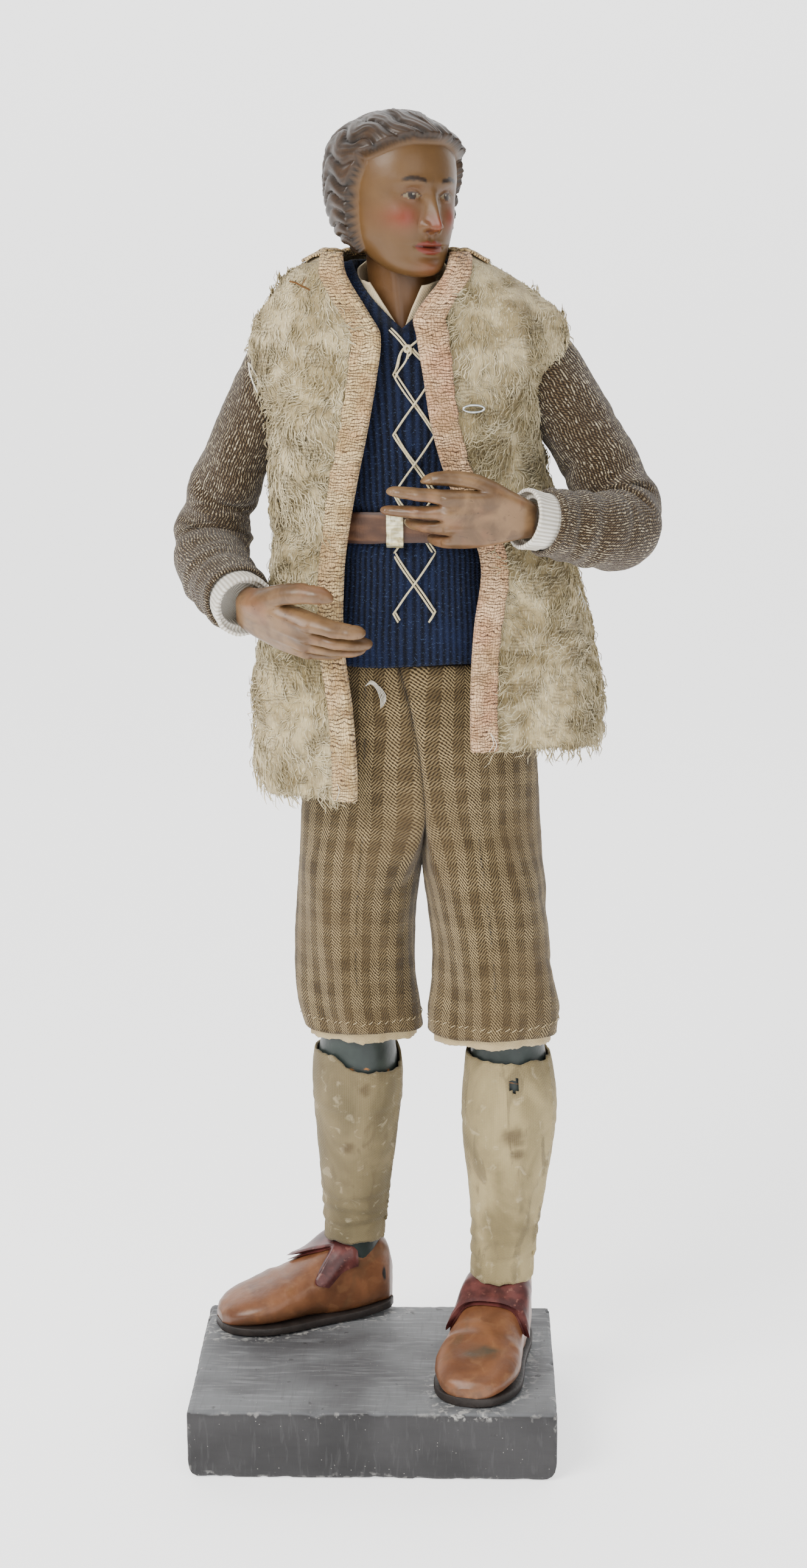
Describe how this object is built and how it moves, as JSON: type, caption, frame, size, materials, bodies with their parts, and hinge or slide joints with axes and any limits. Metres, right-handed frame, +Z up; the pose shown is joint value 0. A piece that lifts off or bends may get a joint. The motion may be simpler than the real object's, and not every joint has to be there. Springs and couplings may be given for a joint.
{
  "type": "nativity crib figure",
  "caption": "Standing dressed crib figure in a fleece coat, laced waistcoat, checked breeches, cloth gaiters and shoes, fixed on a painted block plinth.",
  "frame": {"origin": "centre of the plinth's underside", "axes": "+Z up; the figure's chest faces -Y; its own right side is at -X"},
  "size_m": [0.1573, 0.0984, 0.4352],
  "materials": {
    "plinth_grey": "brushed grey paint, chipped",
    "painted_terracotta": "glossy painted terracotta",
    "hand_paint": "satin painted wood",
    "leg_and_shoe_paint": "satin painted wood",
    "gaiter_canvas": "stiff stained cloth",
    "wool_check": "checked wool twill",
    "lining_cloth": "plain cream cloth",
    "blue_knit": "ribbed knit",
    "lace_thread": "twisted thread",
    "belt_leather": "smooth worn leather",
    "buckle_brass": "dull brass",
    "brown_knit": "flecked knit",
    "shirt_linen": "plain white cloth",
    "fleece": "long matted pile",
    "pink_facing": "coarse plain weave",
    "pin_wire": "bright wire"
  },
  "bodies": {
    "root": {"plinth": "plinth_grey", "head": "painted_terracotta", "right_hand": "hand_paint", "left_hand": "hand_paint", "right_leg": "leg_and_shoe_paint", "left_leg": "leg_and_shoe_paint", "right_gaiter": "gaiter_canvas", "left_gaiter": "gaiter_canvas", "breeches": "wool_check", "right_breeches_lining": "lining_cloth", "left_breeches_lining": "lining_cloth", "blue_waistcoat": "blue_knit", "waistcoat_lace": "lace_thread", "belt": "belt_leather", "belt_buckle": "buckle_brass", "shirt_collar": "shirt_linen", "right_sleeve": "brown_knit", "left_sleeve": "brown_knit", "right_cuff": "shirt_linen", "left_cuff": "shirt_linen", "fleece_coat": "fleece", "right_facing": "pink_facing", "left_facing": "pink_facing", "neck_facing": "pink_facing", "coat_pin": "pin_wire"}
  },
  "joints": []
}
